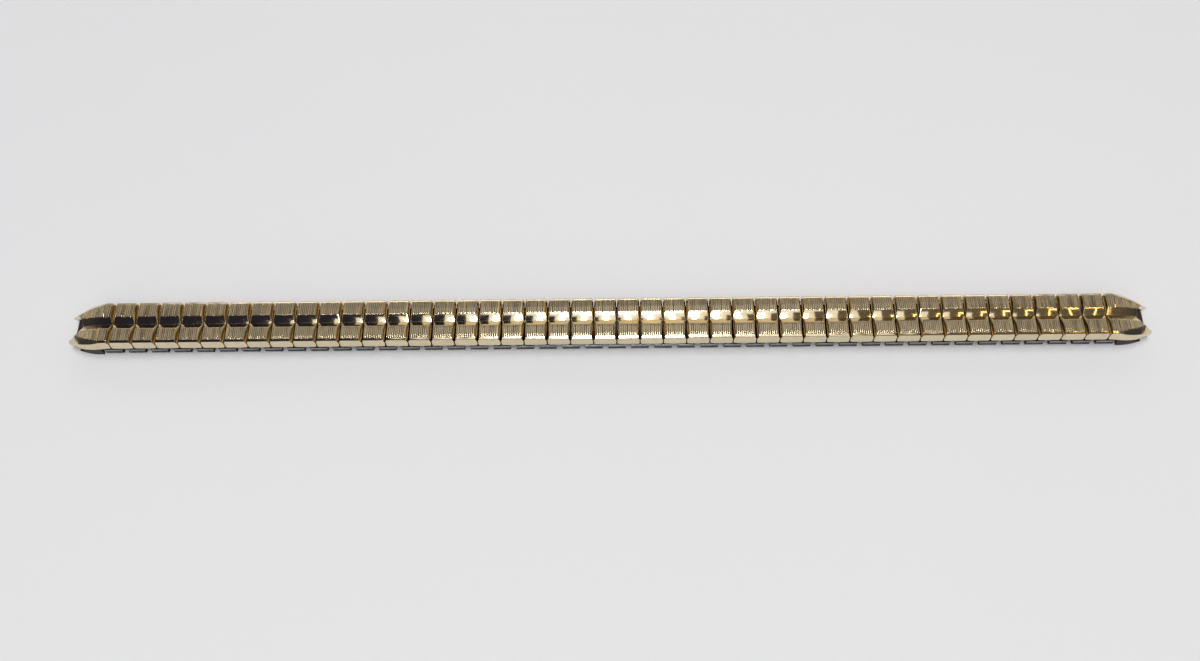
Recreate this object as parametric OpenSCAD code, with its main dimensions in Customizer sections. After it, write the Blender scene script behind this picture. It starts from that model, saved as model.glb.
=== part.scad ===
// Narrow expansion watch band, closed and lying flat, decorative side up.
// X runs along the band, Y across it and Z up; the origin is under the middle of the centre link.
// Stations count outward from the centre link; each seam between stations has one bottom link under it.

/* [Band] */
// Length of one top link with its share of the seam
link_pitch = 3.10; // [3.0:0.05:3.6]
// Number of links on each side of the centre link
side_links = 21; // [4:1:21]
// Gap between two neighbouring covers when the band is closed
seam_gap = 0.10; // [0.08:0.01:0.14]
// Width over the side flanges of the covers
band_w = 6.20; // [5.8:0.1:8]
// Gap between the top row and the bottom row
row_gap = 0.15; // [0.12:0.01:0.3]

/* [Cover] */
// Thickness of the gold cover sheet
cover_sheet = 0.16; // [0.1:0.01:0.2]
// Thickness of the cover's side flanges
flange_t = 0.21; // [0.15:0.01:0.3]
// Height of the fluted pads above the sleeve
pad_rise = 1.10; // [1:0.05:1.3]
// Half width of the polished valley between the pads
valley_half_w = 1.00; // [0.6:0.05:1.3]
// Depth of the valley at its middle
valley_depth = 0.62; // [0.2:0.01:0.64]
// Width of the polished bevel along the outer edges
bevel_w = 0.40; // [0.1:0.05:0.5]
// Drop of that bevel
bevel_drop = 0.12; // [0.05:0.01:0.3]
// Length of the steep bevel at each end of a link
end_bevel_run = 0.38; // [0.2:0.02:0.5]
// Drop of the steep end bevel
end_bevel_drop = 0.70; // [0.4:0.05:0.8]
// Radius of the flanges' lower corners
flange_corner_r = 0.35; // [0.1:0.05:0.45]
// Distance that the flanges hang below the sleeve's top
flange_hang = 0.63; // [0.5:0.01:0.75]

/* [Flutes] */
// Distance between two flutes
flute_pitch = 0.22; // [0.18:0.01:0.4]
// Depth of a flute
flute_depth = 0.08; // [0.04:0.01:0.12]
// Height that the flute ridges lose to the pad's plane
ridge_loss = 0.01; // [0.005:0.005:0.02]

/* [Steel sleeves] */
// Height of a top sleeve
sleeve_h = 0.95; // [0.9:0.01:1.1]
// Wall of a top sleeve
sleeve_wall = 0.10; // [0.08:0.01:0.12]
// Distance that a sleeve stands back from its cover's ends
sleeve_setback = 0.02; // [0.01:0.01:0.05]
// Clearance between sleeve, staple plate and cover flange
side_gap = 0.045; // [0.03:0.005:0.06]
// Clearance between the sleeve's top and the cover's end lips
lip_gap = 0.02; // [0.01:0.01:0.05]

/* [Bottom links] */
// Height of a bottom link
bottom_h = 1.25; // [1.15:0.05:1.5]
// Half length of a bottom link along the band
bottom_half = 1.16; // [1.1:0.02:1.3]
// Wall of a bottom link
bottom_wall = 0.12; // [0.08:0.01:0.16]

/* [Staples] */
// Radius of a staple's round legs
leg_r = 0.18; // [0.12:0.01:0.19]
// Running clearance round a leg
leg_gap = 0.02; // [0.01:0.005:0.04]
// Distance of the upper legs from the seam
upper_leg_x = 1.25; // [1.2:0.01:1.3]
// Distance of the lower legs from the seam
lower_leg_x = 0.80; // [0.6:0.05:0.85]
// Height of the lower legs above the underside
lower_leg_z = 0.46; // [0.4:0.02:0.55]
// Thickness of a staple's side plate
plate_t = 0.30; // [0.2:0.02:0.34]
// Half width of a staple's side plate
plate_half_w = 0.24; // [0.22:0.01:0.27]
// Distance from the middle of the band to a leg's inner end
leg_inner_y = 0.30; // [0.1:0.1:1]

/* [Leaf springs] */
// Thickness of a leaf spring
leaf_t = 0.06; // [0.04:0.01:0.07]
// Rise of a leaf spring's arch
leaf_rise = 0.12; // [0.04:0.01:0.16]
// Clearance between a leaf spring and what it lies in or on
leaf_gap = 0.02; // [0.01:0.005:0.03]

/* [End pieces] */
// Length of an end piece from its seam to its horn tips
end_len = 6.20; // [5.8:0.1:8]
// Narrowing of each side towards the horn tips
end_narrowing = 1.10; // [0.6:0.05:1.2]
// Distance from the seam at which the narrowing starts
narrowing_start = 1.80; // [1.6:0.1:2.4]
// Drop of the top towards the horn tips
end_droop = 1.28; // [0.8:0.02:1.4]
// Distance from the seam at which the top starts to droop
droop_start = 0.60; // [0.5:0.1:1.2]
// Drop of the flanges' lower edge towards the horn tips
flange_droop = 1.60; // [1:0.05:1.65]
// Radius of the horn tips, seen from the side
tip_r = 0.80; // [0.5:0.05:1]
// Depth of the rounded notch between the horns
notch_depth = 2.00; // [1.4:0.1:2.2]
// Width of a horn's blunt tip
horn_tip_w = 0.25; // [0.15:0.05:0.4]
// Clearance round the bar in the notches under the horns
bar_gap = 0.07; // [0.05:0.01:0.12]
// Thickness of the wall round the notch
notch_wall = 0.20; // [0.15:0.01:0.3]
// Length of solid metal at a horn's tip
tip_solid = 0.75; // [0.5:0.05:1]

/* [Bar tube] */
// Radius of the bore that takes the watch's spring bar
tube_bore_r = 0.55; // [0.45:0.01:0.56]
// Length of the tube
tube_len = 3.90; // [3.2:0.1:4.2]
// Distance of the tube's axis from the horn tips
tube_from_tip = 1.25; // [1.1:0.05:1.4]
// Height of the tube's axis above the underside
tube_z = 0.72; // [0.72:0.01:0.8]
// Thickness of the liner's sheet
liner_t = 0.12; // [0.08:0.01:0.2]
// Slack in the tube's wall where the sheet is rolled up
roll_slack = 0.01; // [0.01:0.005:0.03]
// Clearance between the tube and the cover over it
tube_gap = 0.08; // [0.05:0.01:0.15]
// Distance from the seam at which the liner's floor starts to rise to the tube
tray_bend = 3.00; // [2.4:0.1:3.6]
// Distance that the liner's cheeks stand back from the cover's outline
tray_inset = 0.05; // [0.02:0.01:0.1]

/* [Hidden] */
$fn = 48;
sides = ["right", "left"];
function two_digits(n) = str(n < 10 ? "0" : "", n);
function link_name(side, n) = str("link_", side, "_", two_digits(n));
CENTRE_NODES = ["center_cover", "center_sleeve", "center_bottom_links", "center_leaf_springs", "center_staples"];
END_NODES = [for (s = sides, piece = ["end_cover", "end_liner", "end_leaf_spring"]) str(piece, "_", s)];
LINK_NODES = [for (s = sides, n = [1:side_links]) link_name(s, n)];
gold = "#c9a96a";
steel = "#8e9298";
spring_steel = "#6f757c";

// Heights, counted from the underside of the bottom links
sleeve_z = bottom_h + row_gap;
sleeve_top = sleeve_z + sleeve_h;
pad_z = sleeve_top + pad_rise;
lip_z = sleeve_top + lip_gap;
flange_z = sleeve_top - flange_hang;
end_bevel_z = pad_z - end_bevel_drop;
upper_leg_z = sleeve_z + sleeve_wall + leg_gap + leg_r;

// Places across the band
half_w = band_w / 2;
flange_in_y = half_w - flange_t;
plate_out_y = flange_in_y - side_gap;
plate_in_y = plate_out_y - plate_t;
sleeve_y = plate_in_y - side_gap;
bottom_y = plate_out_y + side_gap + bottom_wall;

// Places along a link
cover_half = (link_pitch - seam_gap) / 2;
sleeve_half = cover_half - sleeve_setback;
sleeve_in_half = sleeve_half - sleeve_wall;
bottom_in_half = bottom_half - bottom_wall;
bottom_in_y = sleeve_y - bottom_wall;

// The cover's sheet measured along its slopes
valley_angle = atan2(valley_depth, valley_half_w);
bevel_angle = atan2(bevel_drop, bevel_w);
end_angle = atan2(end_bevel_drop, end_bevel_run);
sheet_in_x = cover_sheet / sin(end_angle);
past = 1;

// Places along an end piece, counted outward from its seam
end_x = (side_links + 0.5) * link_pitch;
end_in = seam_gap / 2;
end_sleeve_in = end_in + sleeve_setback;
liner_from = upper_leg_x + plate_half_w + side_gap + liner_t;
tube_u = end_len - tube_from_tip;
tube_r = tube_bore_r + liner_t + roll_slack;
tip_half_w = half_w - end_narrowing;
notch_reach = tip_half_w - horn_tip_w;
notch_r = (pow(notch_reach, 2) + pow(notch_depth, 2)) / (2 * notch_depth);
notch_u = end_len - notch_depth + notch_r;
notch_wall_z = tube_z + tube_r + tube_gap;
bar_notch_r = tube_bore_r + bar_gap;
cheek_end = tube_u - tube_bore_r - 2 * side_gap;
cavity_end = end_len - tip_solid;
curve_steps = 14;

// Shapes drawn in a side view and drawn out across the band
module across(width) {
    rotate([90, 0, 0]) linear_extrude(height = width, center = true) children();
}

// Shapes drawn in an end view and drawn out along the band
module along(from, to) {
    translate([from, 0, 0]) rotate([90, 0, 90]) linear_extrude(height = to - from) children();
}

// A half outline, from its lowest outer point to the middle, closed by its mirror image
function both_halves(half) = concat(half, [for (i = [len(half) - 1:-1:0]) [-half[i][0], half[i][1]]]);

// The cover's outer form and its hollow, seen along the band, with a valley of the depth that is given
module cover_section(depth) {
    polygon(both_halves([
        [half_w, -past],
        [half_w, pad_z - bevel_drop],
        [half_w - bevel_w, pad_z],
        [valley_half_w, pad_z],
        [0.001, pad_z - depth]
    ]));
}

module hollow_section(depth) {
    polygon(both_halves([
        [flange_in_y, lip_z - past / 2],
        [flange_in_y, pad_z - bevel_drop - cover_sheet * tan(bevel_angle)],
        [half_w - bevel_w - cover_sheet * tan(bevel_angle / 2), pad_z - cover_sheet],
        [valley_half_w + cover_sheet * tan(valley_angle / 2), pad_z - cover_sheet],
        [0.001, pad_z - depth - cover_sheet / (depth > 0 ? cos(valley_angle) : 1)]
    ]));
}

// A link cover's side view, with round lower corners and steep end bevels
module cover_side() {
    polygon(both_halves(concat(
        [for (i = [0:5]) let (a = 90 - i * 18)
            [cover_half - flange_corner_r * (1 - cos(a)), flange_z + flange_corner_r * (1 - sin(a))]],
        [[cover_half, end_bevel_z], [cover_half - end_bevel_run, pad_z + 0.001]]
    )));
}

module hollow_side() {
    polygon(both_halves([
        [cover_half - sheet_in_x, lip_z],
        [cover_half - sheet_in_x, end_bevel_z],
        [cover_half - sheet_in_x - end_bevel_run, pad_z]
    ]));
}

// A comb of V flutes whose ridges follow a height given for each place along the band
module flutes(places, heights) {
    last = len(places) - 1;
    across(band_w + past) polygon(concat(
        [[places[0] - flute_pitch / 2, heights[0] + past]],
        [for (i = [0:last]) each [
            [places[i] - flute_pitch / 2, (heights[max(i - 1, 0)] + heights[i]) / 2 - ridge_loss],
            [places[i], heights[i] - flute_depth]
        ]],
        [[places[last] + flute_pitch / 2, heights[last] - ridge_loss],
         [places[last] + flute_pitch / 2, heights[last] + past]]
    ));
}

// A top link's gold cover
module link_cover() {
    flat_half = cover_half - end_bevel_run;
    count = floor(2 * flat_half / flute_pitch);
    places = [for (i = [0:count - 1]) (i - (count - 1) / 2) * flute_pitch];
    color(gold) difference() {
        intersection() {
            along(-link_pitch, link_pitch) cover_section(valley_depth);
            across(2 * band_w) cover_side();
        }
        intersection() {
            along(-link_pitch, link_pitch) hollow_section(valley_depth);
            across(2 * band_w) hollow_side();
        }
        translate([-link_pitch, -flange_in_y, flange_z - past])
            cube([2 * link_pitch, 2 * flange_in_y, lip_z - flange_z + past]);
        flutes(places, [for (p = places) pad_z]);
    }
}

// A top link's steel sleeve, open at both sides of the band
module link_sleeve() {
    color(steel) difference() {
        translate([-sleeve_half, -sleeve_y, sleeve_z]) cube([2 * sleeve_half, 2 * sleeve_y, sleeve_h]);
        translate([-sleeve_in_half, -sleeve_y - past, sleeve_z + sleeve_wall])
            cube([2 * sleeve_in_half, 2 * (sleeve_y + past), sleeve_h - 2 * sleeve_wall]);
    }
}

// An arched leaf spring that lies on a pair of legs
module leaf_spring(half_len, width, base_z) {
    steps = 8;
    function arch(x) = leaf_rise * (1 - pow(x / half_len, 2));
    xs = [for (i = [0:steps]) half_len * (2 * i / steps - 1)];
    color(spring_steel) across(width) polygon(concat(
        [for (x = xs) [x, base_z + arch(x)]],
        [for (i = [steps:-1:0]) [xs[i], base_z + arch(xs[i]) + leaf_t]]
    ));
}

module top_leaf() {
    leaf_spring(sleeve_in_half - leaf_gap, 2 * (sleeve_y - leaf_gap), upper_leg_z + leg_r + leaf_gap);
}

module bottom_leaf() {
    leaf_spring(bottom_in_half - leaf_gap, 2 * (bottom_in_y - leaf_gap), lower_leg_z + leg_r + leaf_gap);
}

// A bottom link, closed but for the holes of the lower legs; its floor turns up outside the staples' plates
module bottom_link() {
    color(steel) difference() {
        union() {
            translate([-bottom_half, -sleeve_y, 0]) cube([2 * bottom_half, 2 * sleeve_y, bottom_h]);
            translate([-bottom_half, -bottom_y, 0]) cube([2 * bottom_half, 2 * bottom_y, bottom_wall]);
            for (row = [-1, 1]) translate([0, row * (bottom_y - bottom_wall / 2), bottom_h / 2])
                cube([2 * bottom_half, bottom_wall, bottom_h], center = true);
        }
        translate([-bottom_in_half, -bottom_in_y, bottom_wall])
            cube([2 * bottom_in_half, 2 * bottom_in_y, bottom_h - 2 * bottom_wall]);
        for (half = [-1, 1]) translate([half * lower_leg_x, 0, lower_leg_z])
            rotate([90, 0, 0]) cylinder(r = leg_r + leg_gap, h = 2 * (sleeve_y + side_gap), center = true);
    }
}

// A staple: a slanted side plate with an upper and a lower leg that point inward
module staple(half, row) {
    run = half * (upper_leg_x - lower_leg_x);
    rise = upper_leg_z - lower_leg_z;
    length = norm([run, rise]);
    ends = [[half * lower_leg_x, lower_leg_z], [half * upper_leg_x, upper_leg_z]];
    leg_len = plate_in_y - leg_inner_y + plate_t / 2;
    color(steel) union() {
        translate([0, row * (plate_in_y + plate_t / 2), 0]) across(plate_t) union() {
            for (end = ends) translate(end) circle(r = plate_half_w);
            translate(ends[0]) rotate(atan2(rise, run)) translate([0, -plate_half_w])
                square([length, 2 * plate_half_w]);
        }
        for (end = ends) translate([end[0], row * (leg_inner_y + leg_len / 2), end[1]])
            rotate([90, 0, 0]) cylinder(r = leg_r, h = leg_len, center = true);
    }
}

// The four staples of a bottom link
module staples() {
    for (half = [-1, 1], row = [-1, 1]) staple(half, row);
}

// What rides with one station of the band: its top link and the bottom link at its outer seam
module station_pieces() {
    link_cover();
    link_sleeve();
    top_leaf();
    translate([link_pitch / 2, 0, 0]) {
        bottom_link();
        bottom_leaf();
        staples();
    }
}

// Shows its children on the right side as they are and on the left side mirrored
module on_side(side) {
    mirror([side == "left" ? 1 : 0, 0, 0]) children();
}

module side_link(side, n) {
    on_side(side) translate([n * link_pitch, 0, 0]) station_pieces();
}

// The centre station holds the bottom links at both of its seams
module at_centre_seams() {
    for (side = sides) on_side(side) translate([link_pitch / 2, 0, 0]) children();
}

module center_cover() { link_cover(); }
module center_sleeve() { link_sleeve(); }
module center_bottom_links() { at_centre_seams() bottom_link(); }
module center_leaf_springs() {
    top_leaf();
    at_centre_seams() bottom_leaf();
}
module center_staples() { at_centre_seams() staples(); }

// An end piece's top line, its flanges' lower edge and its half width at a distance from its seam
function eased(u, start, power) = u <= start ? 0 : pow((u - start) / (end_len - start), power);
function end_top(u) = pad_z - end_droop * eased(u, droop_start, 2);
function end_flange_z(u) = flange_z - flange_droop * eased(u, flange_corner_r, 1.1);
function end_half_w(u) = half_w - end_narrowing * eased(u, narrowing_start, 2);
function end_places(from, to) = [for (i = [0:curve_steps]) from + (to - from) * i / curve_steps];

// An end cover's side view, with a round corner at the seam and a round tip
module end_side() {
    intersection() {
        polygon(concat(
            [for (i = [0:5]) let (a = i * 18)
                [end_in + flange_corner_r * (1 - sin(a)), flange_z + flange_corner_r * (1 - cos(a))]],
            [[end_in, end_bevel_z]],
            [for (u = end_places(end_in + end_bevel_run, end_len)) [u, end_top(u)]],
            [for (i = [curve_steps:-1:1]) let (u = end_places(end_in + flange_corner_r, end_len)[i])
                [u, end_flange_z(u)]]
        ));
        union() {
            square([end_len - tip_r, 2 * pad_z]);
            translate([0, end_flange_z(end_len) + tip_r]) square([end_len, 2 * pad_z]);
            translate([end_len - tip_r, end_flange_z(end_len) + tip_r]) circle(r = tip_r);
        }
    }
}

// The side view of the room inside an end cover
module end_hollow_side() {
    start = end_in + sheet_in_x;
    polygon(concat(
        [[start, lip_z], [start, end_bevel_z]],
        [for (u = end_places(start + end_bevel_run, cavity_end)) [u, end_top(u) - cover_sheet]],
        [[cavity_end, -past], [liner_from, -past], [liner_from, lip_z]]
    ));
}

// A V groove that follows the drooping top; sheet is what its walls stand back from the valley's surface
module end_groove(sheet) {
    over = past / 2;
    sunk = valley_depth + sheet / cos(valley_angle);
    reach = (over + sunk) / tan(valley_angle);
    us = end_places(-past, end_len + past);
    polyhedron(
        [for (u = us) let (top = end_top(min(u, end_len))) each
            [[u, -reach, top + over], [u, 0, top - sunk], [u, reach, top + over]]],
        concat(
            [[0, 1, 2], [3 * curve_steps + 2, 3 * curve_steps + 1, 3 * curve_steps]],
            [for (i = [0:curve_steps - 1], a = [0:2]) let (b = (a + 1) % 3) each
                [[3 * i + a, 3 * i + 3 + a, 3 * i + 3 + b], [3 * i + a, 3 * i + 3 + b, 3 * i + b]]]
        )
    );
}

// A notch from below round the bar's axis, for the tube or for the way out of the watch's bar
module bar_notch(r, width) {
    across(width) translate([tube_u, tube_z])
        polygon([[-r, -pad_z], [-r, r / 2], [-r / 2, r], [r / 2, r], [r, r / 2], [r, -pad_z]]);
}

// An end piece's plan; inset is what it stands back from the cover's outline
module end_plan(inset, from, to) {
    us = end_places(from, to);
    polygon(concat(
        [for (u = us) [u, end_half_w(u) - inset]],
        [for (i = [curve_steps:-1:0]) [us[i], inset - end_half_w(us[i])]]
    ));
}

module end_cover() {
    first = end_in + end_bevel_run + flute_pitch;
    count = floor((end_len - notch_depth - first) / flute_pitch);
    places = [for (i = [0:count]) first + i * flute_pitch];
    color(gold) difference() {
        intersection() {
            along(0, end_len) cover_section(0);
            across(2 * band_w) end_side();
            linear_extrude(height = 2 * pad_z) end_plan(0, 0, end_len);
        }
        end_groove(0);
        difference() {
            intersection() {
                along(0, end_len) hollow_section(0);
                across(2 * band_w) end_hollow_side();
                linear_extrude(height = 2 * pad_z) difference() {
                    end_plan(flange_t, 0, cavity_end);
                    translate([notch_u, 0]) circle(r = notch_r + notch_wall);
                }
            }
            end_groove(cover_sheet);
        }
        linear_extrude(height = lip_z) end_plan(flange_t, -past, liner_from);
        linear_extrude(height = notch_wall_z) end_plan(flange_t, liner_from - past / 2, cavity_end);
        translate([notch_u, 0, 0]) cylinder(r = notch_r, h = 2 * pad_z);
        bar_notch(bar_notch_r, 2 * band_w);
        bar_notch(tube_r + tube_gap, tube_len + 2 * tube_gap);
        flutes(places, [for (p = places) end_top(p)]);
    }
}

// The liner's floor rises to the underside of the bar tube; lift is added to its height
function tray_floor(u) = u <= tray_bend ? 0 : (tube_z - tube_r) * (u - tray_bend) / (tube_u - tray_bend);
module tray_side(lift, to) {
    from = liner_from - liner_t;
    polygon(concat(
        [[from, lift], [tray_bend, lift], [to, tray_floor(to) + lift]],
        [for (i = [curve_steps:-1:0]) let (u = end_places(from, to)[i])
            [u, end_flange_z(min(u, end_len)) - side_gap + lift]]
    ));
}

// A tray of sheet under an end cover, with side cheeks that follow the flanges and end short of the bar tube
module end_tray() {
    difference() {
        intersection() {
            across(band_w) tray_side(0, tube_u);
            linear_extrude(height = pad_z) end_plan(tray_inset, liner_from - liner_t, tube_u);
        }
        intersection() {
            across(band_w) tray_side(liner_t, end_len);
            linear_extrude(height = pad_z) end_plan(tray_inset + liner_t, liner_from, end_len);
        }
        intersection() {
            across(2 * band_w) tray_side(liner_t, end_len);
            translate([cheek_end, -band_w, 0]) cube([end_len, 2 * band_w, pad_z]);
        }
    }
}

// The steel liner: a sleeve for the last staples, the tray and the rolled tube for the watch's bar
module end_liner() {
    color(steel) difference() {
        union() {
            difference() {
                translate([end_sleeve_in, -sleeve_y, sleeve_z])
                    cube([liner_from - end_sleeve_in, 2 * sleeve_y, sleeve_h]);
                translate([end_sleeve_in + sleeve_wall, -sleeve_y - past, sleeve_z + sleeve_wall])
                    cube([liner_from - liner_t - end_sleeve_in - sleeve_wall, 2 * (sleeve_y + past),
                          sleeve_h - 2 * sleeve_wall]);
            }
            end_tray();
            translate([liner_from - liner_t, -sleeve_y, 0]) cube([liner_t, 2 * sleeve_y, sleeve_top]);
            translate([tube_u, 0, tube_z]) rotate([90, 0, 0]) cylinder(r = tube_r, h = tube_len, center = true);
        }
        translate([tube_u, 0, tube_z]) rotate([90, 0, 0])
            cylinder(r = tube_bore_r, h = tube_len + past, center = true);
    }
}

module end_leaf_spring() {
    room = (upper_leg_x + leg_r - end_sleeve_in - sleeve_wall) / 2;
    middle = end_sleeve_in + sleeve_wall + room;
    translate([middle, 0, 0]) leaf_spring(room - leaf_gap, 2 * (sleeve_y - leaf_gap), upper_leg_z + leg_r + leaf_gap);
}

module at_end(side) {
    on_side(side) translate([end_x, 0, 0]) children();
}

center_cover();
center_sleeve();
center_bottom_links();
center_leaf_springs();
center_staples();
for (side = sides, n = [1:side_links])
    side_link(side, n);
for (side = sides) {
    at_end(side) end_cover();
    at_end(side) end_liner();
    at_end(side) end_leaf_spring();
}
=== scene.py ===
import math
import random

import bmesh
import bpy
from mathutils import Matrix, Vector


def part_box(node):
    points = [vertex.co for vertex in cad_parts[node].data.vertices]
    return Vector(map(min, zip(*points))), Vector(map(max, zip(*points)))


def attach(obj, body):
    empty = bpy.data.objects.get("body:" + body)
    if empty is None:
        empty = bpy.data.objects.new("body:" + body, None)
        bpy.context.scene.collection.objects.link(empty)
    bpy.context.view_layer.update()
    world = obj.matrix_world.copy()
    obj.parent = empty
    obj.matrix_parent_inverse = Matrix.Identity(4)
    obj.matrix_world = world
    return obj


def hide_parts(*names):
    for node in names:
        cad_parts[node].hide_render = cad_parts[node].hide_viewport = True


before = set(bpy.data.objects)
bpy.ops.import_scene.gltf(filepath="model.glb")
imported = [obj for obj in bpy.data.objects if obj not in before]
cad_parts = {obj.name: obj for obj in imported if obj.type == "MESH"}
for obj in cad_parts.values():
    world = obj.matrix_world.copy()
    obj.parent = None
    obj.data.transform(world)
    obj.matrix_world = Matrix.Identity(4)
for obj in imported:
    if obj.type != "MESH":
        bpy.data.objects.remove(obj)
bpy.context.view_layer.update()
mm = 0.001  # shapes are drawn in millimetres and scaled once, when a piece is finished


# Blocks: closed solids, carved with booleans and given small round edges
meshing = {
    "sharpDegrees": 28,  # edges sharper than this are rounded
    "smoothDegrees": 14,  # facets that meet at less look like one curve
    "flatDegrees": 0.5,  # facets that meet at less become one
    "weld": 1e-4, "roundSteps": 2, "roundProfile": 0.5,
}


def newObject(name, mesh):
    obj = bpy.data.objects.new(name, mesh)
    bpy.context.scene.collection.objects.link(obj)
    return obj


def loft(rings):  # a closed block through rings that have equally many points
    count = len(rings[0])
    points = [p for ring in rings for p in ring]
    faces = [list(range(count)), list(range(len(points) - count, len(points)))]
    for r in range(len(rings) - 1):
        for i in range(count):
            j = (i + 1) % count
            faces.append([r * count + i, r * count + j, (r + 1) * count + j, (r + 1) * count + i])
    mesh = bpy.data.meshes.new("block")
    mesh.from_pydata(points, [], faces)
    work = bmesh.new()
    work.from_mesh(mesh)
    bmesh.ops.recalc_face_normals(work, faces=work.faces)
    work.to_mesh(mesh)
    work.free()
    return newObject("block", mesh)


def prism(outline, axis, low, high):  # an outline drawn out along one axis
    place = {
        "x": lambda a, b, t: (t, a, b),
        "y": lambda a, b, t: (a, t, b),
        "z": lambda a, b, t: (a, b, t),
    }[axis]
    return loft([[place(a, b, t) for a, b in outline] for t in (low, high)])


def slab(low, high):
    outline = [(low[0], low[1]), (high[0], low[1]), (high[0], high[1]), (low[0], high[1])]
    return prism(outline, "z", low[2], high[2])


def arc(centre, radius, turns):
    return [(centre[0] + radius * math.cos(t), centre[1] + radius * math.sin(t)) for t in turns]


def rod(radius, axis, centre, length, steps):
    outline = arc(centre, radius, [2 * math.pi * i / steps for i in range(steps)])
    return prism(outline, axis, -length / 2, length / 2)


def bend(before, corner, after, reach, steps=4):  # a corner as a smooth curve that starts this far off
    before, corner, after = Vector(before), Vector(corner), Vector(after)
    start = corner + (before - corner).normalized() * reach
    end = corner + (after - corner).normalized() * reach
    shares = [i / steps for i in range(steps + 1)]
    return [tuple((1 - t) ** 2 * start + 2 * t * (1 - t) * corner + t * t * end) for t in shares]


def quarterTurns(steps):
    return [math.pi / 2 * i / steps for i in range(steps + 1)]


def lowerCorner(x, z, radius, steps):  # rounded, from the side face down to the underside
    return [(x - radius * (1 - math.cos(t)), z + radius * (1 - math.sin(t))) for t in quarterTurns(steps)]


def mirrored(half):  # an outline from its lowest outer point to its middle, closed by its mirror image
    return half + [(-a, b) for a, b in reversed(half) if a]


def carve(block, tool, operation="DIFFERENCE"):
    step = block.modifiers.new("carve", "BOOLEAN")
    step.operation = operation
    step.solver = "EXACT"
    step.object = tool
    shaped = bpy.data.meshes.new_from_object(block.evaluated_get(bpy.context.evaluated_depsgraph_get()))
    block.modifiers.clear()
    block.data = shaped
    bpy.data.objects.remove(tool)


def finishedMesh(name, block, material, edgeRound, sharpDegrees=meshing["sharpDegrees"]):
    f = meshing
    work = bmesh.new()
    work.from_mesh(block.data)
    bmesh.ops.remove_doubles(work, verts=work.verts, dist=f["weld"])
    flat = math.radians(f["flatDegrees"])
    bmesh.ops.dissolve_limit(work, angle_limit=flat, verts=work.verts, edges=work.edges)
    bmesh.ops.holes_fill(work, edges=[e for e in work.edges if e.is_boundary])
    sharp = math.radians(sharpDegrees)
    edges = [e for e in work.edges if e.is_manifold and e.calc_face_angle() > sharp]
    bmesh.ops.bevel(work, geom=edges, offset=edgeRound, segments=f["roundSteps"], profile=f["roundProfile"],
                    affect="EDGES", clamp_overlap=False, miter_outer="SHARP")
    bmesh.ops.triangulate(work, faces=[face for face in work.faces if len(face.verts) > 4])
    bmesh.ops.recalc_face_normals(work, faces=work.faces)
    bmesh.ops.scale(work, vec=(mm, mm, mm), verts=work.verts)
    mesh = bpy.data.meshes.new(name)
    work.to_mesh(mesh)
    work.free()
    mesh.materials.append(material)
    mesh.shade_smooth()
    mesh.set_sharp_from_angle(angle=math.radians(f["smoothDegrees"]))
    bpy.data.objects.remove(block)
    return mesh


def placed(name, mesh, x, body, turned=False):
    obj = newObject(name, mesh)
    obj.location = (x * mm, 0, 0)
    if turned:
        obj.rotation_euler = (0, 0, math.pi)
    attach(obj, body)
    return obj


# Shader groups that several finishes use

def newGroup(name, inputs, outputs):
    group = bpy.data.node_groups.new(name, "ShaderNodeTree")
    for label, kind, value in inputs:
        socket = group.interface.new_socket(name=label, in_out="INPUT", socket_type=kind)
        socket.default_value = value
    for label, kind in outputs:
        group.interface.new_socket(name=label, in_out="OUTPUT", socket_type=kind)
    return group, group.nodes.new("NodeGroupInput"), group.nodes.new("NodeGroupOutput")


def addNode(tree, kind, links=None, **settings):
    node = tree.nodes.new(kind)
    for key, value in settings.items():
        setattr(node, key, value)
    for socket, value in (links or {}).items():
        if isinstance(value, bpy.types.NodeSocket):
            tree.links.new(value, node.inputs[socket])
        else:
            node.inputs[socket].default_value = value
    return node


def mixedColor(tree, share, first, second):  # a mix node's colours are its inputs 6 and 7 and its output 2
    mix = addNode(tree, "ShaderNodeMix", {"Factor": share, 6: first, 7: second}, data_type="RGBA")
    return mix.outputs[2]


scratchLook = {"along": 700, "across": 9000, "depth": 1, "detail": 3.0, "from": 0.35, "to": 0.75}


def makeScratches():  # fine lines along the band, from rubbing on cloth and skin
    f = scratchLook
    group, given, out = newGroup(
        "fineScratches",
        [("Along", "NodeSocketFloat", f["along"]), ("Across", "NodeSocketFloat", f["across"]),
         ("Depth", "NodeSocketFloat", f["depth"])],
        [("Mask", "NodeSocketFloat"), ("Height", "NodeSocketFloat")],
    )
    place = addNode(group, "ShaderNodeTexCoord")
    stretch = addNode(group, "ShaderNodeCombineXYZ", {
        "X": given.outputs["Along"], "Y": given.outputs["Across"], "Z": given.outputs["Across"]})
    scaled = addNode(group, "ShaderNodeVectorMath", {0: place.outputs["Object"], 1: stretch.outputs[0]},
                     operation="MULTIPLY")
    lines = addNode(group, "ShaderNodeTexNoise", {
        "Vector": scaled.outputs[0], "Scale": 1.0, "Detail": f["detail"]})
    mask = addNode(group, "ShaderNodeMapRange", {
        "Value": lines.outputs["Fac"], "From Min": f["from"], "From Max": f["to"]})
    height = addNode(group, "ShaderNodeMath", {0: mask.outputs[0], 1: given.outputs["Depth"]},
                     operation="MULTIPLY")
    group.links.new(mask.outputs[0], out.inputs["Mask"])
    group.links.new(height.outputs[0], out.inputs["Height"])
    return group


tarnishLook = {
    "creases": 0.5, "patches": 0.3, "scale": 900, "detail": 5.0, "roughness": 0.6,
    "patchFrom": 0.42, "patchTo": 0.72, "creaseFrom": 0.5, "creaseTo": 0.44,
}


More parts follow.
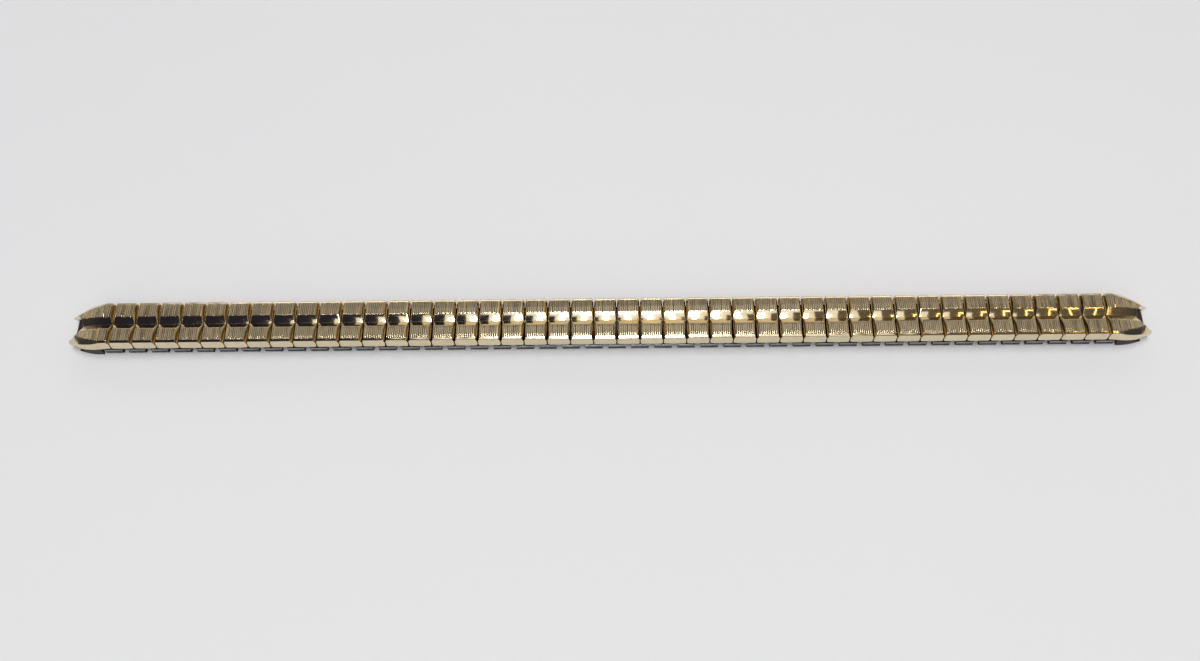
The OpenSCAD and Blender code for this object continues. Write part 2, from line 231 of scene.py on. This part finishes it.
def makeTarnish():  # dull colour that stays in creases and in soft patches
    f = tarnishLook
    group, given, out = newGroup(
        "tarnish",
        [("Clean", "NodeSocketColor", (1, 1, 1, 1)), ("Dull", "NodeSocketColor", (0, 0, 0, 1)),
         ("Creases", "NodeSocketFloat", f["creases"]), ("Patches", "NodeSocketFloat", f["patches"]),
         ("Scale", "NodeSocketFloat", f["scale"])],
        [("Color", "NodeSocketColor"), ("Mask", "NodeSocketFloat")],
    )
    place = addNode(group, "ShaderNodeTexCoord")
    shape = addNode(group, "ShaderNodeNewGeometry")
    cloud = addNode(group, "ShaderNodeTexNoise", {
        "Vector": place.outputs["Object"], "Scale": given.outputs["Scale"], "Detail": f["detail"],
        "Roughness": f["roughness"]})
    patch = addNode(group, "ShaderNodeMapRange", {
        "Value": cloud.outputs["Fac"], "From Min": f["patchFrom"], "From Max": f["patchTo"],
        "To Max": given.outputs["Patches"]})
    crease = addNode(group, "ShaderNodeMapRange", {
        "Value": shape.outputs["Pointiness"], "From Min": f["creaseFrom"], "From Max": f["creaseTo"],
        "To Max": given.outputs["Creases"]})
    mask = addNode(group, "ShaderNodeMath", {0: patch.outputs[0], 1: crease.outputs[0]}, operation="ADD",
                   use_clamp=True)
    color = mixedColor(group, mask.outputs[0], given.outputs["Clean"], given.outputs["Dull"])
    group.links.new(color, out.inputs["Color"])
    group.links.new(mask.outputs[0], out.inputs["Mask"])
    return group


def makePieceTone():  # no two links come out of the bath in quite the same tone
    group, given, out = newGroup(
        "pieceTone",
        [("Color", "NodeSocketColor", (1, 1, 1, 1)), ("Spread", "NodeSocketFloat", 0.06)],
        [("Color", "NodeSocketColor")],
    )
    piece = addNode(group, "ShaderNodeObjectInfo")
    low = addNode(group, "ShaderNodeMath", {0: 1.0, 1: given.outputs["Spread"]}, operation="SUBTRACT")
    tone = addNode(group, "ShaderNodeMapRange", {
        "Value": piece.outputs["Random"], "To Min": low.outputs[0], "To Max": 1.0})
    color = addNode(group, "ShaderNodeVectorMath", {0: given.outputs["Color"], "Scale": tone.outputs[0]},
                    operation="SCALE")
    group.links.new(color.outputs[0], out.inputs["Color"])
    return group


scratches, tarnish, pieceTone = makeScratches(), makeTarnish(), makePieceTone()
print("shader groups ready")

# Finishes
finishes = {
    "gold": {
        "clean": (0.80, 0.69, 0.47, 1), "dull": (0.36, 0.27, 0.16, 1), "creases": 0.45, "patches": 0.2,
        "polish": 0.05, "worn": 0.13, "along": 900, "across": 12000, "depth": 0.2, "spread": 0.08,
    },
    "steel": {
        "clean": (0.28, 0.29, 0.31, 1), "dull": (0.12, 0.11, 0.11, 1), "creases": 0.5, "patches": 0.35,
        "polish": 0.12, "worn": 0.34, "along": 1500, "across": 14000, "depth": 0.4, "spread": 0.1,
    },
    "paintedShadeSteel": {  # painted shade: near-black steel for the sleeves, the liners and the bottom links' hidden tops and undersides, standing in for the shade between and under the links
        "clean": (0.09, 0.08, 0.075, 1), "dull": (0.03, 0.025, 0.02, 1), "creases": 0.3, "patches": 0.6,
        "polish": 0.4, "worn": 0.7, "along": 2500, "across": 6000, "depth": 0.8, "spread": 0.1,
    },
    "springSteel": {
        "clean": (0.30, 0.31, 0.34, 1), "dull": (0.10, 0.09, 0.09, 1), "creases": 0.4, "patches": 0.3,
        "polish": 0.3, "worn": 0.5, "along": 1500, "across": 9000, "depth": 0.4, "spread": 0.05,
    },
}
scratchBump = {"strength": 0.25, "distance": 2e-6}  # the distance is in metres


def metal(name, look):
    material = bpy.data.materials.new(name)
    material.use_nodes = True
    tree = material.node_tree
    shader = tree.nodes["Principled BSDF"]
    shader.inputs["Metallic"].default_value = 1.0
    dulled = addNode(tree, "ShaderNodeGroup", node_tree=tarnish)
    for key in ("clean", "dull", "creases", "patches"):
        dulled.inputs[key.capitalize()].default_value = look[key]
    toned = addNode(tree, "ShaderNodeGroup", node_tree=pieceTone)
    toned.inputs["Spread"].default_value = look["spread"]
    tree.links.new(dulled.outputs["Color"], toned.inputs["Color"])
    tree.links.new(toned.outputs["Color"], shader.inputs["Base Color"])
    rubbed = addNode(tree, "ShaderNodeGroup", node_tree=scratches)
    for key in ("along", "across", "depth"):
        rubbed.inputs[key.capitalize()].default_value = look[key]
    wear = addNode(tree, "ShaderNodeMath", {0: rubbed.outputs["Mask"], 1: dulled.outputs["Mask"]},
                   operation="MAXIMUM")
    gloss = addNode(tree, "ShaderNodeMapRange", {
        "Value": wear.outputs[0], "To Min": look["polish"], "To Max": look["worn"]})
    tree.links.new(gloss.outputs[0], shader.inputs["Roughness"])
    bump = addNode(tree, "ShaderNodeBump", {
        "Height": rubbed.outputs["Height"], "Strength": scratchBump["strength"],
        "Distance": scratchBump["distance"]})
    tree.links.new(bump.outputs[0], shader.inputs["Normal"])
    return material


gold, steel, paintedShadeSteel, springSteel = (metal(name, look) for name, look in finishes.items())
print("finishes ready")

# Sizes that the frame gives, in millimetres

def boxOf(node):
    low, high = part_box(node)
    return low / mm, high / mm


coverLow, coverHigh = boxOf("center_cover")
sleeveLow, sleeveHigh = boxOf("center_sleeve")
bottomHigh = boxOf("center_bottom_links")[1]
endHigh = boxOf("end_cover_right")[1]
halfWidth, padZ, coverHalf, flangeZ = coverHigh.y, coverHigh.z, coverHigh.x, coverLow.z
linkPitch = boxOf("link_right_01")[0].x + coverHalf
sideLinks = sum(name.startswith("link_right_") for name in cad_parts)
seamX = (sideLinks + 0.5) * linkPitch
sides = (("right", 1), ("left", -1))
past = 1.0  # how far a cutting block reaches past what it cuts
skim = 0.001  # how far a cutter's corners stay clear of the surface that they start from

# Top link covers
coverForm = {
    "sheet": 0.16, "flange": 0.21, "lipGap": 0.02, "bevelWidth": 0.40, "bevelDrop": 0.12,
    "valleyHalf": 1.00, "valleyDepth": 0.62, "endRun": 0.24, "endDrop": 0.70, "cornerRadius": 0.35,
    "slopeSheet": 1.18,  # the sheet's upright depth under the valley, in sheets
    "kneeParts": 3,  # the room's knees lie one part of a sheet further out
    "flutePitch": 0.25, "fluteDepth": 0.10, "depthSpread": 0.25, "ridgeLoss": 0.012, "ridgeSpread": 0.022,
    "fluteOverrun": 0.05, "edgeRound": 0.008, "facetInset": 0.033, "endBend": 0.06, "shoulderBend": 0.13,
    "cornerBend": 0.10, "cornerSteps": 6, "variants": 6, "turnedShare": 0.5,
}
flangeIn = halfWidth - coverForm["flange"]
endBevelZ = padZ - coverForm["endDrop"]
lipZ = sleeveHigh.z + coverForm["lipGap"]


def fluteCutters(places, heights, depths, seed):  # V cutters that leave a flat ridge between each other
    f = coverForm
    chance = random.Random(seed)
    outline = []
    for place, height, full in zip(places, heights, depths):
        depth = full * (1 - f["depthSpread"] * chance.random())
        loss = f["ridgeLoss"] + f["ridgeSpread"] * chance.random()
        half = (f["flutePitch"] / 2 - loss) * full / f["fluteDepth"]
        outline += [(place - half, height + skim), (place, height - depth), (place + half, height + skim)]
    first, last = places[0] - f["flutePitch"] / 2, places[-1] + f["flutePitch"] / 2
    outline = [(first, heights[0] + past), (first, heights[0] + skim)] + outline
    outline += [(last, heights[-1] + skim), (last, heights[-1] + past)]
    reach = halfWidth - f["bevelWidth"] + f["fluteOverrun"]
    return prism(outline, "y", -reach, reach)


def endFacets(cover, x, way):  # narrow facets where the valley's walls meet an end bevel
    f = coverForm
    bevel = Vector((way * f["endDrop"], 0, f["endRun"])).normalized()
    for row in (-1, 1):
        wall = Vector((0, -row * f["valleyDepth"], f["valleyHalf"])).normalized()
        facing = (bevel + wall).normalized()
        tool = slab((-halfWidth, -halfWidth, 0), (halfWidth, halfWidth, past))
        spot = Vector((x, row * f["valleyHalf"], padZ)) - facing * f["facetInset"]
        turn = Vector((0, 0, 1)).rotation_difference(facing).to_matrix().to_4x4()
        tool.data.transform(Matrix.Translation(spot) @ turn)
        low, high = sorted((0, row * halfWidth))
        carve(tool, slab((x - past, low, endBevelZ - past), (x + past, high, padZ + past)), "INTERSECT")
        carve(cover, tool)


def plainCover():
    f = coverForm
    shoulder, padEdge = (halfWidth, padZ - f["bevelDrop"]), (halfWidth - f["bevelWidth"], padZ)
    section = mirrored(
        [(halfWidth, flangeZ - past)] + bend((halfWidth, flangeZ), shoulder, padEdge, f["shoulderBend"])
        + [padEdge, (f["valleyHalf"], padZ), (0, padZ - f["valleyDepth"])])
    cover = prism(section, "x", -coverHalf - past, coverHalf + past)
    top = bend((coverHalf, endBevelZ), (coverHalf - f["endRun"], padZ), (0, padZ), f["endBend"])
    foot = lowerCorner(coverHalf, flangeZ, f["cornerRadius"], f["cornerSteps"])[::-1]
    side = mirrored(foot + [(coverHalf, endBevelZ)] + top)
    carve(cover, prism(side, "y", -halfWidth - past, halfWidth + past), "INTERSECT")
    quarter = bend((coverHalf, 0), (coverHalf, halfWidth), (0, halfWidth), f["cornerBend"])
    plan = mirrored([(x, -y) for x, y in reversed(quarter)] + quarter)
    carve(cover, prism(plan, "z", flangeZ - past, padZ + past), "INTERSECT")
    for way in (-1, 1):
        endFacets(cover, way * (coverHalf - f["endRun"]), way)
    inX = coverHalf - f["sheet"] / math.sin(math.atan2(f["endDrop"], f["endRun"]))
    room = prism(mirrored([
        (flangeIn, lipZ - past), (flangeIn, padZ - f["bevelDrop"] - f["sheet"]),
        (halfWidth - f["bevelWidth"], padZ - f["sheet"]),
        (f["valleyHalf"] + f["sheet"] / f["kneeParts"], padZ - f["sheet"]),
        (0, padZ - f["valleyDepth"] - f["sheet"] * f["slopeSheet"]),
    ]), "x", -coverHalf, coverHalf)
    carve(room, prism(mirrored([(inX, lipZ), (inX, endBevelZ), (inX - f["endRun"], padZ)]),
                      "y", -halfWidth, halfWidth), "INTERSECT")
    carve(cover, room)
    carve(cover, slab((-coverHalf - past, -flangeIn, flangeZ - past), (coverHalf + past, flangeIn, lipZ)))
    return cover


def linkCover(variant, base):
    f = coverForm
    cover = newObject("cover", base.data.copy())
    count = int(2 * (coverHalf - f["endRun"]) / f["flutePitch"])
    places = [(i - (count - 1) / 2) * f["flutePitch"] for i in range(count)]
    carve(cover, fluteCutters(places, [padZ] * count, [f["fluteDepth"]] * count, variant))
    return finishedMesh(f"linkCover{variant}", cover, gold, f["edgeRound"])


plain = plainCover()
coverMeshes = [linkCover(variant, plain) for variant in range(coverForm["variants"])]
bpy.data.objects.remove(plain)
print("link covers:", [len(mesh.polygons) for mesh in coverMeshes], "faces")

# Steel sleeves inside the covers
sleeveForm = {"wall": 0.10, "edgeRound": 0.03}


def linkSleeve():
    wall = sleeveForm["wall"]
    sleeve = slab(sleeveLow, sleeveHigh)
    carve(sleeve, slab((sleeveLow.x + wall, sleeveLow.y - past, sleeveLow.z + wall),
                       (sleeveHigh.x - wall, sleeveHigh.y + past, sleeveHigh.z - wall)))
    # the sleeves get the painted shade finish, dark as the shade inside the covers
    return finishedMesh("linkSleeve", sleeve, paintedShadeSteel, sleeveForm["edgeRound"])


sleeveMesh = linkSleeve()

# Staples, with their legs in the sleeves and in the bottom links
stapleForm = {
    "legRadius": 0.172, "legGap": 0.02, "upperX": 1.25, "lowerX": 0.80, "lowerZ": 0.46,
    "plate": 0.30, "plateHalf": 0.24, "plateGap": 0.045, "legInner": 0.30, "edgeRound": 0.04,
    "plateSteps": 10, "legSteps": 20, "sharpDegrees": 50,
}
plateOut = flangeIn - stapleForm["plateGap"]
upperZ = sleeveLow.z + sleeveForm["wall"] + stapleForm["legGap"] + stapleForm["legRadius"]


def staple(way):
    f = stapleForm
    low, high = Vector((way * f["lowerX"], f["lowerZ"])), Vector((way * f["upperX"], upperZ))
    lean = math.atan2(high.y - low.y, high.x - low.x)
    outline = []
    for end, start in ((high, -math.pi / 2), (low, math.pi / 2)):
        turns = [lean + start + math.pi * i / f["plateSteps"] for i in range(f["plateSteps"] + 1)]
        outline += arc(end, f["plateHalf"], turns)
    plate = prism(outline, "y", plateOut - f["plate"], plateOut)
    legLength = plateOut - f["plate"] / 2 - f["legInner"]
    for end in (low, high):
        leg = rod(f["legRadius"], "y", end, legLength, f["legSteps"])
        leg.data.transform(Matrix.Translation((0, f["legInner"] + legLength / 2, 0)))
        carve(plate, leg, "UNION")
    return plate


def joined(blocks):  # separate solids in one mesh
    work = bmesh.new()
    for block in blocks:
        work.from_mesh(block.data)
        bpy.data.objects.remove(block)
    mesh = bpy.data.meshes.new("blocks")
    work.to_mesh(mesh)
    work.free()
    return newObject("blocks", mesh)


def stapleSet():
    f = stapleForm
    blocks = []
    for way in (-1, 1):
        for row in (-1, 1):
            one = staple(way)
            one.data.transform(Matrix.Scale(row, 4, (0, 1, 0)))
            blocks.append(one)
    return finishedMesh("staples", joined(blocks), steel, f["edgeRound"], f["sharpDegrees"])


stapleMesh = stapleSet()

# Bottom links: closed boxes whose floor turns up outside the staples' plates
bottomForm = {
    "half": bottomHigh.x - linkPitch / 2, "wall": 0.12, "boxHalf": sleeveHigh.y, "edgeRound": 0.015,
    "corner": 0.40, "cornerSteps": 8, "stepZ": 0.80, "stepIn": 0.05, "holeExtra": 0.1,
    "sharpDegrees": 50, "skin": 0.01,  # faces this close to the top or the floor count as lying in it
}


def trough(half, out, low, top, radius, step):  # round below, and a little narrower under its step
    f = bottomForm
    side = out - step
    outline = lowerCorner(side, low, radius, f["cornerSteps"])
    rim = [(out, top)]
    if step:
        rim += [(out, f["stepZ"]), (side, f["stepZ"] - step)]
    return prism(mirrored(rim + outline), "x", -half, half)


def bottomLink():
    f, s = bottomForm, stapleForm
    half, out, top = f["half"], bottomHigh.y, bottomHigh.z
    link = slab((-half, -f["boxHalf"], 0), (half, f["boxHalf"], top))
    tray = trough(half, out, 0, top, f["corner"], f["stepIn"])
    inner = out - f["wall"] - f["stepIn"]
    carve(tray, trough(half + past, inner, f["wall"], top + past, f["corner"] - f["wall"], 0))
    carve(link, tray, "UNION")
    room = f["boxHalf"] - f["wall"]
    carve(link, slab((f["wall"] - half, -room, f["wall"]), (half - f["wall"], room, top - f["wall"])))
    holeLength = 2 * f["boxHalf"] + f["holeExtra"]
    for way in (-1, 1):
        spot = (way * s["lowerX"], s["lowerZ"])
        carve(link, rod(s["legRadius"] + s["legGap"], "y", spot, holeLength, s["legSteps"]))
    mesh = finishedMesh("bottomLink", link, steel, f["edgeRound"], f["sharpDegrees"])
    # painted shade and painted reflection: the box's top under the top link and its rounded underside below
    # the step take the near-black finish, standing in for the shade there and the shaded floor that the
    # underside mirrors
    mesh.materials.append(paintedShadeSteel)
    for face in mesh.polygons:
        z, y = face.center.z / mm, abs(face.center.y) / mm
        shadedTop = z > top - f["skin"] and y < f["boxHalf"]
        shadedUnderside = f["skin"] < z < f["stepZ"] and y > f["boxHalf"]
        face.material_index = 1 if shadedTop or shadedUnderside else 0
    return mesh


bottomMesh = bottomLink()

# Leaf springs that press on the legs
leafForm = {"thick": 0.06, "rise": 0.12, "gap": 0.02, "edgeRound": 0.012}


def leafSpring(name, halfLength, halfDepth, baseZ, steps=14):
    f = leafForm
    spots = [halfLength * (2 * i / steps - 1) for i in range(steps + 1)]
    arch = [(x, baseZ + f["rise"] * (1 - (x / halfLength) ** 2)) for x in spots]
    outline = arch + [(x, z + f["thick"]) for x, z in reversed(arch)]
    return finishedMesh(name, prism(outline, "y", -halfDepth, halfDepth), springSteel, f["edgeRound"])


legTop = stapleForm["legRadius"] + leafForm["gap"]
topLeafMesh = leafSpring("topLeaf", sleeveHigh.x - sleeveForm["wall"] - leafForm["gap"],
                         sleeveHigh.y - leafForm["gap"], upperZ + legTop)
bottomLeafMesh = leafSpring("bottomLeaf", bottomForm["half"] - bottomForm["wall"] - leafForm["gap"],
                            sleeveHigh.y - bottomForm["wall"] - leafForm["gap"],
                            stapleForm["lowerZ"] + legTop)
print("steel pieces ready")

# Every station of the band: its top link and the bottom link at its outer seam


def topPieces(label, x, body):
    pick = random.Random(label)
    shape, turned = pick.choice(coverMeshes), pick.random() < coverForm["turnedShare"]
    cover = placed("cover_" + label, shape, x, body, turned)
    sleeve = placed("sleeve_" + label, sleeveMesh, x, body)
    leaf = placed("top_leaf_" + label, topLeafMesh, x, body)
    return cover, sleeve, leaf


def seamPieces(label, x, body):
    link = placed("bottom_link_" + label, bottomMesh, x, body)
    placed("bottom_leaf_" + label, bottomLeafMesh, x, body)
    staples = placed("staples_" + label, stapleMesh, x, body)
    return link, staples


def centreStation():
    cover, sleeve, leaf = topPieces("center", 0, "center")
    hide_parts("center_cover")
    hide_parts("center_sleeve")
    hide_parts("center_leaf_springs")
    for side, way in sides:
        link, staples = seamPieces("center_" + side, way * linkPitch / 2, "center")
    # each of these nodes holds both sides' solids, and one piece stands for it
    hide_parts("center_bottom_links")
    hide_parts("center_staples")


def sideStation(side, way, number):
    body = f"{side}_{number:02d}"
    pieces = topPieces(body, way * number * linkPitch, body)
    seamPieces(body, way * (number + 0.5) * linkPitch, body)
    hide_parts("link_" + body)


centreStation()
for side, way in sides:
    for number in range(1, sideLinks + 1):
        sideStation(side, way, number)
print("stations placed")

# End pieces, drawn outward from their seam
endForm = {
    "length": endHigh.x - seamX, "gap": linkPitch / 2 - coverHalf, "droop": 1.28, "droopFrom": 0.60,
    "narrowing": 1.10, "narrowFrom": 1.80, "flangeDroop": 1.05, "bevelDroop": 0.75, "bevelFrom": 1.20,
    "bevelSpread": 0.60, "tipRadius": 0.80, "tipWidth": 0.25, "notchDepth": 2.00,
    "tubeZ": 0.72, "tubeFromTip": 1.25, "tubeRoom": 0.76, "tubeHalf": 1.95, "tubeSide": 0.08,
    "barRoom": 0.62, "linerFrom": 1.655, "linerLap": 0.5, "tipSolid": 0.75, "roomZ": 1.48,
    "edgeRound": 0.016, "fluteFade": 1.2, "fluteStop": 0.4, "leastFade": 0.25, "fluteSeed": 9,
    "padPower": 2, "sidePower": 2, "flangePower": 1.1, "leastPad": 0.05, "noseGap": 0.05,
    "loftSteps": 56, "sideSteps": 24, "notchSteps": 72,
}


def eased(u, start, power):  # 0 up to the start, then rising to 1 at the tip
    reach = endForm["length"] - start
    return ((u - start) / reach) ** power if u > start else 0.0


def endPadZ(u):
    return padZ - endForm["droop"] * eased(u, endForm["droopFrom"], endForm["padPower"])


def endFlangeZ(u):
    return flangeZ - endForm["flangeDroop"] * eased(u, coverForm["cornerRadius"], endForm["flangePower"])


def endHalf(u):
    return halfWidth - endForm["narrowing"] * eased(u, endForm["narrowFrom"], endForm["sidePower"])


def endRing(u):  # the cover's cross-section, whose outer bevel widens and drops towards the horns
    f, c = endForm, coverForm
    top = endPadZ(u)
    widening = 1 - (1 - eased(u, f["bevelFrom"], 1)) ** 2
    shoulder = (endHalf(u), top - c["bevelDrop"] - f["bevelDroop"] * widening)
    spread = c["bevelWidth"] + f["bevelSpread"] * widening
    pad = (max(endHalf(u) - spread, c["valleyHalf"] + f["leastPad"]), top)
    ring = mirrored([(endHalf(u), -past)] + bend((endHalf(u), -past), shoulder, pad, c["shoulderBend"])
                    + [pad, (c["valleyHalf"], top), (0, top - c["valleyDepth"])])
    return [(u, a, b) for a, b in ring]


def endNotch(r, width):  # room round the bar tube, open below
    f = endForm
    u, z = f["length"] - f["tubeFromTip"], f["tubeZ"]
    inner = [(u - r, z - padZ), (u - r, z + r / 2), (u - r / 2, z + r)]
    outer = [(u + r / 2, z + r), (u + r, z + r / 2), (u + r, z - padZ)]
    return prism(inner + outer, "y", -width / 2, width / 2)


def endPlan(inset, start, end, low, high, steps=14):  # the cover's plan, drawn inward by the inset
    spots = [start + (end - start) * i / steps for i in range(steps + 1)]
    outline = [(u, endHalf(u) - inset) for u in spots] + [(u, inset - endHalf(u)) for u in reversed(spots)]
    return prism(outline, "z", low, high)


def endSide():  # the cover's outline from the side
    f, c = endForm, coverForm
    steps, reach = f["sideSteps"], f["length"] - f["gap"] - c["endRun"]
    spots = [f["gap"] + c["endRun"] + reach * i / steps for i in range(steps + 1)]
    turns, r = quarterTurns(c["cornerSteps"]), c["cornerRadius"]
    foot = [(f["gap"] + r * (1 - math.sin(t)), flangeZ + r * (1 - math.cos(t))) for t in turns]
    top = [(u, endPadZ(u) + skim) for u in spots[1:]]
    edge = bend((f["gap"], endBevelZ), (spots[0], padZ + skim), top[0], c["endBend"])
    nose = lowerCorner(f["length"], endFlangeZ(f["length"]), f["tipRadius"], c["cornerSteps"])
    under = [(u, endFlangeZ(u)) for u in reversed(spots) if u < nose[-1][0] - f["noseGap"]]
    outline = foot + [(f["gap"], endBevelZ)] + edge + top + nose + under
    return prism(outline, "y", -halfWidth - past, halfWidth + past)


def endCover():
    f, c = endForm, coverForm
    cover = loft([endRing(f["length"] * i / f["loftSteps"]) for i in range(f["loftSteps"] + 1)])
    carve(cover, endSide(), "INTERSECT")
    reach = endHalf(f["length"]) - f["tipWidth"]
    radius = (reach ** 2 + f["notchDepth"] ** 2) / (2 * f["notchDepth"])
    turns = [2 * math.pi * i / f["notchSteps"] for i in range(f["notchSteps"])]
    middle = f["length"] - f["notchDepth"] + radius
    carve(cover, prism(arc((middle, 0), radius, turns), "z", -past, 2 * padZ))
    carve(cover, endPlan(c["flange"], -past, f["linerFrom"], -past, lipZ))
    roomFrom, roomTo = f["linerFrom"] - f["linerLap"], f["length"] - f["tipSolid"]
    carve(cover, endPlan(c["flange"], roomFrom, roomTo, -past, f["roomZ"]))
    carve(cover, endNotch(f["barRoom"], 3 * halfWidth))
    carve(cover, endNotch(f["tubeRoom"], 2 * (f["tubeHalf"] + f["tubeSide"])))
    first = f["gap"] + c["endRun"] + c["flutePitch"]
    last = f["length"] - f["notchDepth"] + f["fluteFade"] - f["fluteStop"]
    places = [first + i * c["flutePitch"] for i in range(int((last - first) / c["flutePitch"]) + 1)]
    fades = [min(1.0, max(f["leastFade"], (last - u) / f["fluteFade"])) for u in places]
    heights, depths = [endPadZ(u) for u in places], [c["fluteDepth"] * k for k in fades]
    carve(cover, fluteCutters(places, heights, depths, f["fluteSeed"]))
    return finishedMesh("endCover", cover, gold, f["edgeRound"])


endMesh = endCover()
print("end cover:", len(endMesh.polygons), "faces")
for side, way in sides:
    end = placed("end_cover_piece_" + side, endMesh, way * seamX, side + "_end", way < 0)
    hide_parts("end_cover_" + side)
    # the liners get the painted shade finish, dark as the shade under the horns; the leaf springs keep
    # their own
    for kind, material in (("end_liner_", paintedShadeSteel), ("end_leaf_spring_", springSteel)):
        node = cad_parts[kind + side]
        node.data.materials.clear()
        node.data.materials.append(material)
print("end pieces placed")

# Floor, sized in metres
floorLook = {
    "color": (0.82, 0.84, 0.87, 1), "cloud": (0.79, 0.81, 0.85, 1), "cloudScale": 12.0,
    "roughness": 0.7, "size": 6.0,
}


def makeFloor():
    half = floorLook["size"] / 2
    mesh = bpy.data.meshes.new("floor")
    corners = [(-half, -half, 0), (half, -half, 0), (half, half, 0), (-half, half, 0)]
    mesh.from_pydata(corners, [], [(0, 1, 2, 3)])
    floor = newObject("floor", mesh)
    material = bpy.data.materials.new("paleCard")
    material.use_nodes = True
    tree = material.node_tree
    shader = tree.nodes["Principled BSDF"]
    shader.inputs["Roughness"].default_value = floorLook["roughness"]
    place = addNode(tree, "ShaderNodeTexCoord")
    cloud = addNode(tree, "ShaderNodeTexNoise", {
        "Vector": place.outputs["Object"], "Scale": floorLook["cloudScale"]})
    tint = mixedColor(tree, cloud.outputs["Fac"], floorLook["color"], floorLook["cloud"])
    tree.links.new(tint, shader.inputs["Base Color"])
    mesh.materials.append(material)


makeFloor()

# Light, placed in metres: a strip lamp overhead that runs across the band, a wide soft one round it,
# a window behind, a soft one in front that no metal reflects, a small warm one on the right and a dim room
lights = {
    "strip": {
        "at": (0.0, -0.22, 1.0), "size": (0.10, 1.1), "lean": 0, "watts": 6.4, "color": (1, 0.99, 0.98),
    },
    "halo": {
        "at": (0.03, -0.15, 1.1), "size": (0.45, 1.7), "lean": 0, "watts": 2.4, "color": (1, 0.98, 0.95),
    },
    "window": {
        "at": (0.0, 1.6, 0.84), "size": (1.3, 0.5), "lean": -62, "watts": 2.0, "color": (1, 0.97, 0.96),
    },
    "fill": {
        "at": (0.0, -1.2, 0.7), "size": (2.0, 1.0), "lean": 60, "watts": 5.0, "color": (1, 1, 1),
        "softOnly": True,
    },
    "warm": {
        "at": (0.50, -0.20, 1.0), "size": (0.03, 1.0), "lean": 0, "watts": 0.5, "color": (1, 0.72, 0.30),
    },
}


def areaLight(name, look):
    data = bpy.data.lights.new(name, "AREA")
    data.shape = "RECTANGLE"
    data.size, data.size_y = look["size"]
    data.energy = look["watts"]
    data.color = look["color"]
    lamp = bpy.data.objects.new(name, data)
    lamp.location = look["at"]
    lamp.rotation_euler.x = math.radians(look["lean"])
    lamp.visible_glossy = not look.get("softOnly")
    bpy.context.scene.collection.objects.link(lamp)


for name, look in lights.items():
    areaLight(name, look)

roomLook = {
    "front": (0.05, 0.05, 0.06, 1), "back": (0.44, 0.42, 0.41, 1),
    "left": (0.02, 0.02, 0.035, 1), "right": (0.14, 0.11, 0.08, 1),
    "frontToBack": (-0.35, 0.15), "leftToRight": (-0.25, 0.25), "wallToCeiling": (0.45, 0.8),
}


def makeRoom():  # pale walls behind the band, a dark one in front, and a ceiling that is darker on the left
    f = roomLook
    world = bpy.data.worlds.new("room")
    world.use_nodes = True
    tree = world.node_tree
    place = addNode(tree, "ShaderNodeTexCoord")
    parts = addNode(tree, "ShaderNodeSeparateXYZ", {0: place.outputs["Generated"]})

    def blend(axis, span, first, second):
        share = addNode(tree, "ShaderNodeMapRange", {
            "Value": parts.outputs[axis], "From Min": span[0], "From Max": span[1],
        }, interpolation_type="SMOOTHSTEP")
        return mixedColor(tree, share.outputs[0], first, second)

    walls = blend("Y", f["frontToBack"], f["front"], f["back"])
    ceiling = blend("X", f["leftToRight"], f["left"], f["right"])
    sky = blend("Z", f["wallToCeiling"], walls, ceiling)
    tree.links.new(sky, tree.nodes["Background"].inputs["Color"])
    bpy.context.scene.world = world


makeRoom()

# Camera, at the photograph's angle; its clip limits are in metres
shot = {
    "target": (0, 0, 1.8), "azimuth": 2.0, "elevation": 61.0, "distance": 172.0, "roll": -2.3,
    "focal": 1274.6 / 1200, "aimRight": -0.72, "aimUp": -0.93,  # the focal length is in image widths
    "sensor": 36.0, "clip": (0.005, 20),
}


def makeCamera():
    az, el, roll = (math.radians(shot[k]) for k in ("azimuth", "elevation", "roll"))
    back = Vector((math.sin(az) * math.cos(el), -math.cos(az) * math.cos(el), math.sin(el)))
    level = Vector((math.cos(az), math.sin(az), 0))
    rise = back.cross(level)
    right = level * math.cos(roll) + rise * math.sin(roll)
    up = rise * math.cos(roll) - level * math.sin(roll)
    target = Vector(shot["target"])
    spot = target + back * shot["distance"]
    aim = target + right * shot["aimRight"] + up * shot["aimUp"]
    back = (spot - aim).normalized()
    right = up.cross(back).normalized()
    up = back.cross(right)
    data = bpy.data.cameras.new("camera")
    data.sensor_width = shot["sensor"]
    data.lens = shot["focal"] * data.sensor_width
    data.clip_start, data.clip_end = shot["clip"]
    camera = bpy.data.objects.new("camera", data)
    turn = Matrix((right, up, back)).transposed().to_4x4()
    camera.matrix_world = Matrix.Translation(spot * mm) @ turn
    bpy.context.scene.collection.objects.link(camera)
    bpy.context.scene.camera = camera


makeCamera()
bpy.context.scene.view_settings.view_transform = "Standard"
print("camera and light ready")
